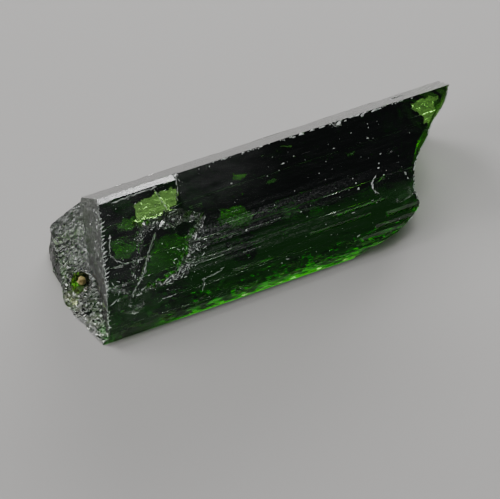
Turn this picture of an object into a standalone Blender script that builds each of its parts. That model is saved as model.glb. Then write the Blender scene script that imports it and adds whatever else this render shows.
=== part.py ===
"""A diopside crystal: one broken, gem-clear prism that lies on a prism face,
with a tan grain of its matrix held in a pit of the rough end.

Metres, +Z up. The long axis of the prism runs along X, and the origin is the
centre of the bounding box at the height of the surface that it rests on.
"""

import math
import random

import bmesh
import bpy
from mathutils import Matrix, Vector, noise

MM = 0.001

# Section across the long axis, mm. Y runs to the back and Z up, from the foot
# of the front edge. The wide front face and the crest face meet at 90 degrees.
FRONT_HEIGHT = 0.98
MAIN_WIDTH = 10.83
MAIN_SLOPE = math.radians(46.5)
CREST_WIDTH = 5.13
BACK_FOOT = (11.35, 0.12)
REST_BACK = 11.24

# Saw-tooth growth ledges on each side of the section: how many, the shallowest
# and deepest in mm, and how far they crowd towards the end of that side.
MAIN_LEDGES = (14, (0.008, 0.036), 1.25)
CREST_LEDGES = (5, (0.004, 0.014), 1.0)
BACK_LEDGES = (4, (0.005, 0.016), 0.9)
LEDGE_LIP = 0.05
LEDGE_SPREAD = (0.45, 1.7)

# Rough end, mm: a leaning facet, and below it a skirt that stands out.
END_OFFSET = 0.434
END_LEAN = (0.101, 0.202)
SKIRT_TOP = (0.35, 0.316)
SKIRT_RISE_FROM = 8.0
SKIRT_RISE = 0.09
SKIRT_SLOPE = 1.25
SKIRT_REACH = 2.3
END_LUMPS = 0.26
END_RELIEF = 0.085

# Broken end: (distance up the wide face, distance along the axis), mm, and how
# much longer the crystal gets for each mm under that face.
BREAK_OUTLINE = (
    (-1.2, 21.0),
    (-0.65, 22.2),
    (-0.1, 24.9),
    (0.3, 26.8),
    (1.3, 28.6),
    (2.0, 29.35),
    (3.3, 29.2),
    (5.1, 29.65),
    (6.5, 30.7),
    (7.0, 31.4),
    (8.3, 32.3),
    (8.9, 33.15),
    (9.8, 34.1),
    (12.5, 35.6),
)
BREAK_DEEPENS = 0.21
BREAK_RELIEF = 0.07
RIPPLE_FOCUS = (9.5, 1.0)
RIPPLE_PITCH = 1.15
RIPPLE_DEPTH = 0.09

GRID = 0.36
REACH = ((-1.6, 13.4), (-1.6, 10.6))
BEYOND = (-9.0, 46.0)
PRISM_SPAN = (-6.0, 42.0)

# The pit in the rough end and the grain in it: centres and half sizes, mm.
PIT_CENTRE = (0.18, 5.85, 1.35)
PIT_HALF = (0.95, 0.95, 1.25)
GRAIN_CENTRE = (0.42, 5.95, 1.30)
GRAIN_HALF = (0.42, 0.40, 0.55)

# Flat along the left stretch of the crest, and the fine step in front of it, mm.
CREST_FLAT_END = 9.55
CREST_FLAT_DROP = 0.27
CREST_FLAT_LEAN = math.radians(12.0)
CREST_CUTTER_HALF = 2.0
CREST_STEP_SPAN = (3.9, 8.5)
CREST_STEP_FOOT = 10.15
CREST_STEP_DEPTH = 0.07

# Shallow broken hollows in the wide face:
# (along, up the face, half length, half width, depth, turn in degrees), mm.
HOLLOWS = (
    (2.95, 1.85, 1.25, 0.80, 0.12, -15.0),
    (27.75, 4.05, 2.10, 1.45, 0.15, 8.0),
    (28.05, 7.10, 0.60, 0.26, 0.05, 25.0),
)

# The rough scar across the left of the wide face: its course and half width,
# (along, up the face, half width), and the step from one broken bite to the next.
SCAR = (
    (5.30, 8.05, 0.30),
    (6.60, 7.70, 0.55),
    (8.00, 7.55, 0.80),
    (9.50, 7.35, 0.85),
    (10.80, 6.85, 0.50),
    (10.10, 6.10, 0.50),
    (9.20, 5.45, 0.42),
    (8.75, 4.40, 0.40),
    (7.75, 3.40, 0.42),
    (6.10, 2.85, 0.30),
    (4.20, 2.70, 0.30),
)
SCAR_STEP = 0.42
SCAR_DEPTH = 0.48

# Open cracks in the wide face: (along, up) at both ends, and the depth, mm.
CRACKS = (
    ((9.85, 10.75), (9.15, 8.70), 0.30),
    ((6.70, 6.75), (2.85, 1.60), 0.10),
    ((7.55, 10.20), (8.45, 8.30), 0.07),
)
CRACK_WIDTH = 0.10

# Chips out of the edges: (along, up the face, depth under it, half sizes), mm.
CHIPS = (
    (9.70, 10.90, 0.10, (0.34, 0.34, 0.46)),
    (24.15, 10.95, -0.10, (0.52, 0.62, 0.55)),
    (19.90, 10.95, 0.00, (0.26, 0.22, 0.30)),
    (26.90, 10.95, -0.05, (0.30, 0.26, 0.32)),
    (28.60, 10.98, 0.00, (0.20, 0.24, 0.30)),
    (13.30, 10.98, 0.05, (0.22, 0.20, 0.26)),
    (12.40, -0.10, 0.15, (0.55, 0.20, 0.24)),
    (17.20, -0.06, 0.10, (0.80, 0.16, 0.20)),
    (5.60, -0.15, 0.20, (0.60, 0.24, 0.28)),
    (20.90, -0.20, 0.15, (0.70, 0.22, 0.22)),
)

# Chips and bruises round the back and the foot: centres and half sizes, mm.
HIDDEN_CHIPS = (
    ((7.4, 11.25, 5.35), (0.70, 0.30, 0.34)),
    ((15.2, 11.20, 5.45), (0.45, 0.24, 0.26)),
    ((22.6, 11.30, 5.25), (1.10, 0.34, 0.30)),
    ((30.1, 11.20, 5.40), (0.40, 0.22, 0.30)),
    ((11.8, 11.52, 0.10), (0.90, 0.30, 0.24)),
    ((26.3, 11.52, 0.05), (0.60, 0.30, 0.22)),
    ((18.9, 11.45, -0.05), (0.85, 0.34, 0.26)),
    ((5.1, 11.50, 0.00), (0.60, 0.32, 0.24)),
    ((19.5, 11.75, 3.40), (2.10, 0.62, 1.00)),
    ((30.9, 9.90, 7.30), (1.30, 0.50, 0.95)),
)

# Long splinters gone from the lower right of the wide face:
# (from, to, up the face, half width, depth), mm.
SPLINTERS = (
    (23.4, 31.0, 0.62, 0.30, 0.17),
    (24.9, 31.0, 1.28, 0.26, 0.15),
    (26.2, 31.0, 2.02, 0.30, 0.18),
    (19.2, 24.9, 2.55, 0.17, 0.09),
    (21.6, 26.6, 3.35, 0.15, 0.08),
    (12.0, 17.6, 1.72, 0.15, 0.07),
)


def clear_scene():
    for item in list(bpy.data.objects):
        bpy.data.objects.remove(item, do_unlink=True)


def material(name, colour, roughness, transmission=0.0, ior=1.5):
    made = bpy.data.materials.new(name)
    made.use_nodes = True
    shader = made.node_tree.nodes["Principled BSDF"]
    shader.inputs["Base Color"].default_value = (*colour, 1.0)
    shader.inputs["Roughness"].default_value = roughness
    shader.inputs["Metallic"].default_value = 0.0
    shader.inputs["Transmission Weight"].default_value = transmission
    shader.inputs["IOR"].default_value = ior
    made.diffuse_color = (*colour, 1.0)
    return made


def object_from(mesh_builder, name, finish=None):
    """An object in millimetres, brought to metres, with its faces outwards."""
    bmesh.ops.recalc_face_normals(mesh_builder, faces=mesh_builder.faces)
    bmesh.ops.scale(mesh_builder, vec=(MM, MM, MM), verts=mesh_builder.verts)
    mesh = bpy.data.meshes.new(name)
    mesh_builder.to_mesh(mesh)
    mesh_builder.free()
    made = bpy.data.objects.new(name, mesh)
    bpy.context.scene.collection.objects.link(made)
    if finish:
        mesh.materials.append(finish)
    return made


def cutter_from(mesh_builder, name):
    made = object_from(mesh_builder, name)
    made.hide_render = True
    made.display_type = "WIRE"
    return made


def on_main_face(along, up, under=0.0):
    """A point given by its place on the wide front face and its depth under it."""
    return Vector(
        (
            along,
            up * math.cos(MAIN_SLOPE) + under * math.sin(MAIN_SLOPE),
            FRONT_HEIGHT + up * math.sin(MAIN_SLOPE) - under * math.cos(MAIN_SLOPE),
        )
    )


def main_face_place(y, z):
    """How far up the wide face and how far under it a point of the section is."""
    height = z - FRONT_HEIGHT
    up = y * math.cos(MAIN_SLOPE) + height * math.sin(MAIN_SLOPE)
    under = y * math.sin(MAIN_SLOPE) - height * math.cos(MAIN_SLOPE)
    return up, under


def interpolate(points, at):
    """The value at a place on a polyline of (place, value) points."""
    for (low, first), (high, second) in zip(points, points[1:]):
        if at <= high:
            share = max(0.0, (at - low) / (high - low))
            return first + (second - first) * share
    return points[-1][1]


def ledged(start, stop, ledges, seed, lip_first=False):
    """The points of one side of the section after its start, with its ledges.

    Each ledge is steep near its stop, or near its start if the lip comes first.
    """
    count, depths, crowding = ledges
    draw = random.Random(seed)
    side = Vector(stop) - Vector(start)
    inward = Vector((-side.y, side.x)).normalized()
    reach = [0.0]
    for _ in range(count):
        reach.append(reach[-1] + draw.uniform(*LEDGE_SPREAD))
    places = [1.0 - (1.0 - at / reach[-1]) ** crowding for at in reach]
    points = []
    for low, high in zip(places, places[1:]):
        step = LEDGE_LIP * (high - low)
        lip = low + step if lip_first else high - step
        foot = Vector(start) + side * lip + inward * draw.uniform(*depths)
        points += [tuple(foot), tuple(Vector(start) + side * high)]
    return points


def section():
    """The outline across the prism, as (y, z) in mm, from the front edge round."""
    top = on_main_face(0.0, MAIN_WIDTH).yz
    shoulder = on_main_face(0.0, MAIN_WIDTH, CREST_WIDTH).yz
    brow = (0.0, FRONT_HEIGHT)
    outline = [(0.0, 0.0), (REST_BACK, 0.0), BACK_FOOT]
    outline += ledged(BACK_FOOT, shoulder, BACK_LEDGES, 3)
    outline += ledged(shoulder, top, CREST_LEDGES, 5)
    return outline + ledged(top, brow, MAIN_LEDGES, 7, lip_first=True)


def extruded(outline, start, stop):
    """A prism on a (y, z) outline, between two places along X."""
    builder = bmesh.new()
    ring = [builder.verts.new((start, y, z)) for y, z in outline]
    face = builder.faces.new(ring)
    side = bmesh.ops.extrude_face_region(builder, geom=[face])
    moved = [item for item in side["geom"] if isinstance(item, bmesh.types.BMVert)]
    bmesh.ops.translate(builder, vec=(stop - start, 0.0, 0.0), verts=moved)
    return builder


def rough_end(y, z):
    """Where the etched left end lies along X."""
    facet = END_OFFSET + END_LEAN[0] * y + END_LEAN[1] * z
    skirt_top = SKIRT_TOP[0] + SKIRT_TOP[1] * y
    skirt_top += SKIRT_RISE * max(0.0, y - SKIRT_RISE_FROM) ** 2
    skirt = min(SKIRT_REACH, max(0.0, SKIRT_SLOPE * (skirt_top - z)))
    lumps = END_LUMPS * noise.noise(Vector((y, z, 3.0)) * 0.75) * min(1.0, skirt)
    relief = END_RELIEF * noise.noise(Vector((y, z, 9.0)) * 1.9)
    return facet - skirt + lumps + relief


def broken_end(y, z):
    """Where the broken right end lies along X, with its conchoidal ripples."""
    up, under = main_face_place(y, z)
    surface = interpolate(BREAK_OUTLINE, up) + BREAK_DEEPENS * max(0.0, under)
    distance = math.hypot(y - RIPPLE_FOCUS[0], z - RIPPLE_FOCUS[1])
    ripple = RIPPLE_DEPTH * math.sin(2 * math.pi * distance / RIPPLE_PITCH)
    fade = min(1.0, max(0.0, under) / 1.5)
    relief = BREAK_RELIEF * noise.noise(Vector((y, z, 21.0)) * 1.3)
    return surface + ripple * fade + relief


def surface_block(surface, far):
    """A block with one face that follows surface(y, z) and a flat one at far."""
    (low_y, high_y), (low_z, high_z) = REACH
    columns = round((high_y - low_y) / GRID)
    rows = round((high_z - low_z) / GRID)
    builder = bmesh.new()
    bmesh.ops.create_grid(builder, x_segments=columns, y_segments=rows, size=0.5)
    for vert in builder.verts:
        y = low_y + (vert.co.x + 0.5) * (high_y - low_y)
        z = low_z + (vert.co.y + 0.5) * (high_z - low_z)
        vert.co = (surface(y, z), y, z)
    rim = [edge for edge in builder.edges if edge.is_boundary]
    wall = bmesh.ops.extrude_edge_only(builder, edges=rim)["geom"]
    for item in wall:
        if isinstance(item, bmesh.types.BMVert):
            item.co.x = far
    outer = [edge for edge in builder.edges if edge.is_boundary]
    bmesh.ops.edgenet_fill(builder, edges=outer)
    return builder


def lump(centre, half, seed, roughness=0.12, turn=None, detail=2):
    """A rounded, uneven lump, in mm."""
    builder = bmesh.new()
    bmesh.ops.create_icosphere(builder, subdivisions=detail, radius=1.0)
    shift = Vector((seed * 3.7, seed * 1.3, seed * 2.1))
    for vert in builder.verts:
        vert.co *= 1.0 + roughness * noise.noise(vert.co * 1.7 + shift)
    bmesh.ops.scale(builder, vec=half, verts=builder.verts)
    if turn:
        bmesh.ops.transform(builder, matrix=turn, verts=builder.verts)
    bmesh.ops.translate(builder, vec=Vector(centre), verts=builder.verts)
    return builder


def face_turn(degrees=0.0):
    """Turns a lump so that its X, Y and Z run along, up and out of the wide face."""
    tilt = Matrix.Rotation(MAIN_SLOPE, 4, "X")
    return tilt @ Matrix.Rotation(math.radians(degrees), 4, "Z")


def hollow_cutter(number, along, up, half_long, half_wide, depth, degrees):
    """A lens over the wide face that leaves a hollow of the given size and depth."""
    rise = 1.6 * depth
    share = math.sqrt(1.0 - (rise / (rise + depth)) ** 2)
    half = (half_long / share, half_wide / share, rise + depth)
    centre = on_main_face(along, up, -rise)
    builder = lump(centre, half, 10 + number, 0.16, face_turn(degrees), 3)
    return cutter_from(builder, f"hollow_cutter_{number}")


def scar_cutters():
    """Angular bites that overlap along the course of the scar."""
    draw = random.Random(11)
    course = [Vector(point) for point in SCAR]
    bites = []
    for start, stop in zip(course, course[1:]):
        count = max(1, round((stop - start).xy.length / SCAR_STEP))
        bites += [start.lerp(stop, n / count) for n in range(count)]
    for number, (along, up, half_width) in enumerate(bites):
        half = [half_width * draw.uniform(0.8, 1.15) for _ in range(2)]
        half.append(SCAR_DEPTH * draw.uniform(0.8, 1.2))
        place = (along + draw.uniform(-0.1, 0.1), up + draw.uniform(-0.12, 0.12))
        centre = on_main_face(*place, -0.45 * half[2])
        turn = face_turn(draw.uniform(0.0, 180.0))
        builder = lump(centre, half, 70 + number, 0.35, turn, 1)
        yield cutter_from(builder, f"scar_cutter_{number}")


def crack_cutter(number, start, stop, depth):
    """A thin V-shaped groove between two places on the wide face."""
    run = Vector(stop) - Vector(start)
    side = Vector((-run.y, run.x)).normalized() * CRACK_WIDTH / 2
    ends = []
    for place in (Vector(start), Vector(stop)):
        ends.append(
            [
                on_main_face(*(place + 3 * side), -2 * depth),
                on_main_face(*(place - 3 * side), -2 * depth),
                on_main_face(*place, depth),
            ]
        )
    builder = bmesh.new()
    near, far = ([builder.verts.new(point) for point in ring] for ring in ends)
    builder.faces.new(near)
    builder.faces.new(far)
    for n in range(3):
        builder.faces.new((near[n], near[n - 1], far[n - 1], far[n]))
    return cutter_from(builder, f"crack_cutter_{number}")


def chip_cutter(number, along, up, under, half):
    centre = on_main_face(along, up, under)
    builder = lump(centre, half, 40 + number, 0.30, face_turn())
    return cutter_from(builder, f"chip_cutter_{number}")


def splinter_cutter(number, start, stop, up, half_width, depth):
    """A long wedge that takes a flake out of the wide face along the axis."""
    corners = (
        on_main_face(0.0, up - half_width, -0.6),
        on_main_face(0.0, up + half_width, -0.6),
        on_main_face(0.0, up + 0.8 * half_width, 0.15 * depth),
        on_main_face(0.0, up - 0.6 * half_width, depth),
    )
    builder = extruded([(c.y, c.z) for c in corners], start, stop)
    return cutter_from(builder, f"splinter_cutter_{number}")


def crest_cutters():
    """The flat on the left stretch of the crest, and the fine step below it."""
    top = on_main_face(0.0, MAIN_WIDTH)
    floor = top.z - CREST_FLAT_DROP
    rise = CREST_CUTTER_HALF * math.tan(CREST_FLAT_LEAN)
    front = top.y - CREST_CUTTER_HALF
    back = top.y + CREST_CUTTER_HALF
    above = top.z + CREST_CUTTER_HALF
    flat = [(front, floor - rise), (back, floor + rise), (back, above), (front, above)]
    step = [
        on_main_face(0.0, CREST_STEP_FOOT, -0.5),
        on_main_face(0.0, CREST_STEP_FOOT, CREST_STEP_DEPTH),
        on_main_face(0.0, MAIN_WIDTH + 0.8, CREST_STEP_DEPTH - 0.05),
        on_main_face(0.0, MAIN_WIDTH + 0.8, -0.5),
    ]
    step = [(corner.y, corner.z) for corner in step]
    return (
        cutter_from(extruded(flat, PRISM_SPAN[0], CREST_FLAT_END), "crest_flat_cutter"),
        cutter_from(extruded(step, *CREST_STEP_SPAN), "crest_step_cutter"),
    )


def cut(body, cutter):
    """A live Boolean that takes the cutter out of the body.

    The exact solver drops a face where small chips meet the long, thin ledges,
    so the manifold one is used: every cutter here is closed.
    """
    modifier = body.modifiers.new(cutter.name, "BOOLEAN")
    modifier.operation = "DIFFERENCE"
    modifier.solver = "MANIFOLD"
    modifier.object = cutter


def crystal_cutters():
    """Every cutter, the long plain ones first and the uneven ones after them."""
    yield from crest_cutters()
    for number, splinter in enumerate(SPLINTERS):
        yield splinter_cutter(number, *splinter)
    for number, hollow in enumerate(HOLLOWS):
        yield hollow_cutter(number, *hollow)
    yield from scar_cutters()
    for number, crack in enumerate(CRACKS):
        yield crack_cutter(number, *crack)
    for number, chip in enumerate(CHIPS):
        yield chip_cutter(number, *chip)
    for number, (centre, half) in enumerate(HIDDEN_CHIPS):
        builder = lump(centre, half, 90 + number, 0.25)
        yield cutter_from(builder, f"hidden_chip_cutter_{number}")
    yield cutter_from(surface_block(rough_end, BEYOND[0]), "rough_end_cutter")
    yield cutter_from(surface_block(broken_end, BEYOND[1]), "break_cutter")
    yield cutter_from(lump(PIT_CENTRE, PIT_HALF, 1, 0.2), "pit_cutter")


def make_crystal():
    green = material("diopside_green", (0.02, 0.16, 0.02), 0.05, 1.0, 1.68)
    crystal = object_from(extruded(section(), *PRISM_SPAN), "diopside_crystal", green)
    for cutter in crystal_cutters():
        cut(crystal, cutter)
    return crystal


def make_grain():
    tan = material("matrix_tan", (0.50, 0.38, 0.18), 0.8)
    return object_from(lump(GRAIN_CENTRE, GRAIN_HALF, 5, 0.25), "matrix_grain", tan)


def evaluated_box(body):
    """The lowest and highest corners of an object as its modifiers leave it."""
    graph = bpy.context.evaluated_depsgraph_get()
    corners = [Vector(corner) for corner in body.evaluated_get(graph).bound_box]
    low = Vector(min(corner[axis] for corner in corners) for axis in range(3))
    high = Vector(max(corner[axis] for corner in corners) for axis in range(3))
    return low, high


def centre_on_origin(body):
    """Moves every mesh, so that the body's box is centred over the origin."""
    low, high = evaluated_box(body)
    shift = Vector((-(low.x + high.x) / 2, -(low.y + high.y) / 2, -low.z))
    for item in bpy.data.objects:
        item.data.transform(Matrix.Translation(shift))


def main():
    clear_scene()
    crystal = make_crystal()
    make_grain()
    bpy.context.view_layer.update()
    centre_on_origin(crystal)


main()
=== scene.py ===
import math
import random

import bpy
import numpy as np
from mathutils import Matrix, Quaternion, Vector, noise
from mathutils.bvhtree import BVHTree


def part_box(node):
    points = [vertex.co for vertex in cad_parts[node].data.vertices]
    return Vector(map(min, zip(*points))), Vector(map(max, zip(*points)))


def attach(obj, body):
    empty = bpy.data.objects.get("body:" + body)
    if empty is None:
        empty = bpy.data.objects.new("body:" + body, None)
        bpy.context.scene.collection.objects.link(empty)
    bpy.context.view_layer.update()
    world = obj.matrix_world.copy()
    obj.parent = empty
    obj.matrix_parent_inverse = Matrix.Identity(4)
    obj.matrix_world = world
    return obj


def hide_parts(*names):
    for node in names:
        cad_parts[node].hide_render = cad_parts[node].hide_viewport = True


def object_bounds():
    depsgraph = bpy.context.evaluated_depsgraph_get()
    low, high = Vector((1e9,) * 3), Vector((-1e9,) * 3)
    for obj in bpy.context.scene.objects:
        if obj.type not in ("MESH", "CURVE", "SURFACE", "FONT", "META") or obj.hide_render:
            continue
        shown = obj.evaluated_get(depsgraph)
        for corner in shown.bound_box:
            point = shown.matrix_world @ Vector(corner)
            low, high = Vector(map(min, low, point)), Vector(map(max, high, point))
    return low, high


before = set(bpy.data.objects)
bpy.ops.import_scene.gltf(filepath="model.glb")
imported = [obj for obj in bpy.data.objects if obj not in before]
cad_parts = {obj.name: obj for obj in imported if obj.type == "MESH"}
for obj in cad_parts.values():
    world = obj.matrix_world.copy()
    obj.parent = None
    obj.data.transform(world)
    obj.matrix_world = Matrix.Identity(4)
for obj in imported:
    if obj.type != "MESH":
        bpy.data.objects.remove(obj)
cad_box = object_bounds()

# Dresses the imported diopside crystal: etched and broken ends, bruises and splinters, clear green
# glass with level cracks inside, and the grain of host rock. Lengths are in millimetres, but for
# those of the studio, which are in metres.
MM = 0.001
CRYSTAL = "diopside_crystal"
GRAIN = "matrix_grain"
GREEN_SLOT = "diopside_green"
TAN_SLOT = "matrix_tan"

# The crystal's own axes: t runs along it from the rough end, s climbs the main face from its
# foot, and depth goes into the crystal at right angles to that face.
START_X = -17.19
FOOT_Y = -5.675
FRONT_HEIGHT = 0.98
MAIN_SLOPE = math.radians(46.5)
MAIN_WIDTH = 10.83
UP_MAIN = Vector((0, math.cos(MAIN_SLOPE), math.sin(MAIN_SLOPE)))
INTO_MAIN = Vector((0, math.sin(MAIN_SLOPE), -math.cos(MAIN_SLOPE)))
FOOT = Vector((START_X, FOOT_Y, FRONT_HEIGHT))


def on_main(t, s, depth=0.0):
    """The point of the main face at t and s, in metres."""
    return (FOOT + Vector((t, 0, 0)) + s * UP_MAIN + depth * INTO_MAIN) * MM


# ---- modelling helpers

MERGE_REACH = 0.0005


def only(obj):
    """Leaves this object alone selected and active, in object mode."""
    if bpy.context.mode != "OBJECT":
        bpy.ops.object.mode_set(mode="OBJECT")
    bpy.ops.object.select_all(action="DESELECT")
    obj.select_set(True)
    bpy.context.view_layer.objects.active = obj


def add_object(name, data):
    made = bpy.data.objects.new(name, data)
    bpy.context.scene.collection.objects.link(made)
    return made


def edit_all():
    """Opens the active object in edit mode, with all of it selected."""
    bpy.ops.object.mode_set(mode="EDIT")
    bpy.ops.mesh.select_all(action="SELECT")


def merged_copy(node, name):
    """A copy of a node's mesh as a piece of its own, with its loose triangles merged."""
    piece = add_object(name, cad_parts[node].data.copy())
    only(piece)
    edit_all()
    bpy.ops.mesh.remove_doubles(threshold=MERGE_REACH * MM)
    bpy.ops.object.mode_set(mode="OBJECT")
    return piece


def face_table(mesh):
    """The centres, in millimetres, and the normals of all faces, one row each."""
    centres = np.empty(3 * len(mesh.polygons), np.float32)
    normals = np.empty_like(centres)
    mesh.polygons.foreach_get("center", centres)
    mesh.polygons.foreach_get("normal", normals)
    return centres.reshape(-1, 3) / MM, normals.reshape(-1, 3)


def keep_inside(piece):
    """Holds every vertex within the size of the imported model."""
    places = np.empty(3 * len(piece.data.vertices))
    piece.data.vertices.foreach_get("co", places)
    kept = np.clip(places.reshape(-1, 3), np.array(cad_box[0]), np.array(cad_box[1]))
    piece.data.vertices.foreach_set("co", kept.ravel())
    piece.data.update()


def pick_faces(obj, test):
    """Selects the faces whose centres and normals pass the test, in edit mode."""
    only(obj)
    bpy.ops.object.mode_set(mode="EDIT")
    bpy.ops.mesh.select_mode(type="FACE")
    bpy.ops.mesh.select_all(action="DESELECT")
    bpy.ops.object.mode_set(mode="OBJECT")
    chosen = test(*face_table(obj.data))
    obj.data.polygons.foreach_set("select", chosen)
    bpy.ops.object.mode_set(mode="EDIT")
    return bool(chosen.any())


def corners_of(mesh, chosen):
    """The vertex numbers of the chosen faces."""
    return {index for number in np.flatnonzero(chosen) for index in mesh.polygons[number].vertices}


def corners_within(mesh, chosen):
    """The vertex numbers of the chosen faces that no other face shares, in order."""
    return sorted(corners_of(mesh, chosen) - corners_of(mesh, ~chosen))


def cut_across(obj, test, places, normal):
    """Cuts the faces that pass the test by planes at these places (metres) with this normal."""
    if pick_faces(obj, test):
        bpy.ops.mesh.hide(unselected=True)
        for place in places:
            bpy.ops.mesh.select_all(action="SELECT")
            bpy.ops.mesh.bisect(plane_co=place, plane_no=normal)
        bpy.ops.mesh.reveal(select=False)
    bpy.ops.object.mode_set(mode="OBJECT")


def displace(obj, group, kind, size, strength, level=0.5):
    """Roughens the vertices of a group with a procedural texture, along their normals."""
    texture = bpy.data.textures.new(f"{obj.name}_{kind}_{size}", kind)
    texture.noise_scale = size * MM
    modifier = obj.modifiers.new("relief", "DISPLACE")
    modifier.texture = texture
    modifier.texture_coords = "LOCAL"
    modifier.strength = strength * MM
    modifier.mid_level = level
    modifier.vertex_group = group
    only(obj)
    bpy.ops.object.modifier_apply(modifier=modifier.name)


def give_finish(piece, finish):
    """Gives a piece its one material and drops the groups that its relief needed."""
    piece.data.materials.clear()
    piece.data.materials.append(finish)
    piece.vertex_groups.clear()


def steps(start, stop, step):
    """The numbers from start to stop, evenly spaced by about step."""
    count = max(1, round((stop - start) / step))
    return [start + (stop - start) * i / count for i in range(count + 1)]


def held(value, low=0.0, high=1.0):
    """The value, or the nearer end of the range when it lies outside."""
    return max(low, min(high, value))


def between(values, limits):
    return (values > limits[0]) & (values < limits[1])


def rippled(x, y, ripples):
    """A sum of noises at a place, from rows of waves along x and y, seed and strength."""
    return sum(strength * noise.noise(Vector((x * along, y * up, seed)))
               for along, up, seed, strength in ripples)


# ---- parts of the crystal's surface

END_FACING = 0.12        # faces whose normal leans this far along the crystal are end faces
ALONG_FACING = 0.04      # and those that lean less than this run along it
ROUGH_END_STOP = -14.2   # the rough end lies left of this X
BREAK_START = 3.5        # the break lies right of this X
TIP_FLOOR = 6.0          # the thin tip of the break lies above this

# The damaged left stretch of the main face, cut into small cells.
CELL = 0.2
CELLS_T = (0.2, 12.0)
CELLS_S = (0.15, 10.8)
MAIN_FACING = 0.99       # a face is part of the main face if it looks out of it as squarely as this
MAIN_NEAR = 0.2          # and lies as near to it as this

# The bites and grooves of the scar lie between these places and depths of the main face.
SCAR_T = (3.5, 12.0)
SCAR_S = (1.5, 9.0)
SCAR_DEPTHS = (0.004, 0.8)
SCAR_LEVEL = 0.97        # faces more level than this belong to the cleavages

# Shallow shell-shaped hollows of the main face: (t, s, half length, half width).
HOLLOWS = ((2.95, 1.85, 1.35, 0.9), (27.75, 4.05, 2.2, 1.6))
HOLLOW_DEPTHS = (0.002, 0.4)
HOLLOW_FACING = 0.7

CREST_FLAT_FLOOR = 8.3   # the white flat along the crest lies above this
CREST_FLAT_STOP = -7.5   # left of this X
CREST_FLAT_LEVEL = 0.94  # and is at least this level
BASE_TOP = 0.05          # the face that the crystal rests on lies below this
BASE_LEVEL = 0.95
LEDGED_LEVEL = -0.6      # the ledged long faces look up more than this
CLEAVAGE_FLOOR = 1.2     # the cracks inside lie above this
CLEAVAGE_LEVEL = 0.99


def main_places(points):
    """Where points of the frame, in millimetres, lie on the main face: t, s and depth."""
    offsets = points - np.array(FOOT)
    return offsets[:, 0], offsets @ np.array(UP_MAIN), offsets @ np.array(INTO_MAIN)


def out_of_main(normals):
    """How squarely faces look out of the main face."""
    return normals @ -np.array(INTO_MAIN)


def is_rough_end(centres, normals):
    return (centres[:, 0] < ROUGH_END_STOP) & (abs(normals[:, 0]) > END_FACING)


def is_break(centres, normals):
    return (centres[:, 0] > BREAK_START) & (abs(normals[:, 0]) > END_FACING)


def is_damaged_main(centres, normals):
    t, _, depth = main_places(centres)
    inside = between(t, (CELLS_T[0], CELLS_T[1] + CELL)) & (abs(depth) < MAIN_NEAR)
    return (out_of_main(normals) > MAIN_FACING) & inside


def is_scar(centres, normals):
    """The broken bites and grooves in the main face, but not the level cleavages."""
    t, s, depth = main_places(centres)
    level = abs(normals[:, 2]) > SCAR_LEVEL
    smooth = out_of_main(normals) > MAIN_FACING
    return between(t, SCAR_T) & between(s, SCAR_S) & between(depth, SCAR_DEPTHS) & ~level & ~smooth


def is_hollow(centres, normals):
    t, s, depth = main_places(centres)
    inside = np.zeros(len(centres), bool)
    for along, up, half_long, half_wide in HOLLOWS:
        inside |= ((t - along) / half_long) ** 2 + ((s - up) / half_wide) ** 2 < 1
    return inside & between(depth, HOLLOW_DEPTHS) & (out_of_main(normals) > HOLLOW_FACING)


def is_cleavage(centres, normals):
    level = abs(normals[:, 2]) > CLEAVAGE_LEVEL
    return level & between(centres[:, 2], (CLEAVAGE_FLOOR, CREST_FLAT_FLOOR))


def is_crest_flat(centres, normals):
    level = normals[:, 2] > CREST_FLAT_LEVEL
    return level & (centres[:, 2] > CREST_FLAT_FLOOR) & (centres[:, 0] < CREST_FLAT_STOP)


def is_ledged(centres, normals):
    """The faces along the crystal that carry growth ledges: main face, crest and back."""
    along = abs(normals[:, 0]) < ALONG_FACING
    return along & (normals[:, 2] > LEDGED_LEVEL) & (centres[:, 2] > FRONT_HEIGHT)


def is_base(centres, normals):
    return (normals[:, 2] < -BASE_LEVEL) & (centres[:, 2] < BASE_TOP)


# ---- bruises

# Courses of bruised, splintered crystal on the main face: (t, s, half width).
BRUISES = (
    ((10.95, 6.9, 0.12), (10.48, 6.15, 0.3), (9.66, 5.0, 0.52), (9.0, 4.0, 0.6), (8.1, 3.15, 0.4),
     (6.7, 2.6, 0.24), (5.0, 2.6, 0.2), (3.7, 2.55, 0.16)),
    ((7.0, 7.95, 0.35), (6.2, 7.6, 0.5), (5.5, 7.0, 0.45), (4.95, 5.75, 0.34), (4.1, 4.45, 0.3),
     (3.5, 3.5, 0.22)),
    ((7.0, 8.0, 0.25), (8.2, 7.8, 0.42), (9.3, 7.3, 0.5), (10.5, 7.0, 0.25)),
    ((6.6, 6.7, 0.07), (5.7, 5.45, 0.07), (4.9, 4.0, 0.08), (4.1, 3.25, 0.12), (3.25, 2.45, 0.12),
     (2.9, 1.7, 0.08)),
    ((1.3, 4.4, 0.12), (1.75, 3.6, 0.3), (2.4, 3.3, 0.36), (3.2, 2.8, 0.3)),
    ((9.9, 3.6, 0.06), (8.95, 3.3, 0.12), (8.0, 2.9, 0.12), (7.0, 2.5, 0.08)),
)
BRUISE_RIPPLES = ((1.6, 3.4, 4.0, 0.35), (4.0, 8.0, 1.0, 0.2))
BRUISE_GAIN = 1.6
BRUISE_TRIM = 0.05
BRUISE_FAINTEST = 0.05
BRUISE_FINEST = 0.012    # mm², the largest face left in a bruise


def near_course(t, s, course):
    """1 in the middle of a bruised course, 0 at its half width and beyond."""
    best = 0.0
    place = Vector((t, s))
    for start, stop in zip(course, course[1:]):
        first, last = Vector(start[:2]), Vector(stop[:2])
        run = last - first
        share = held((place - first).dot(run) / run.length_squared)
        half = start[2] + (stop[2] - start[2]) * share
        best = max(best, 1.0 - (place - first - run * share).length / half)
    return best


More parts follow.
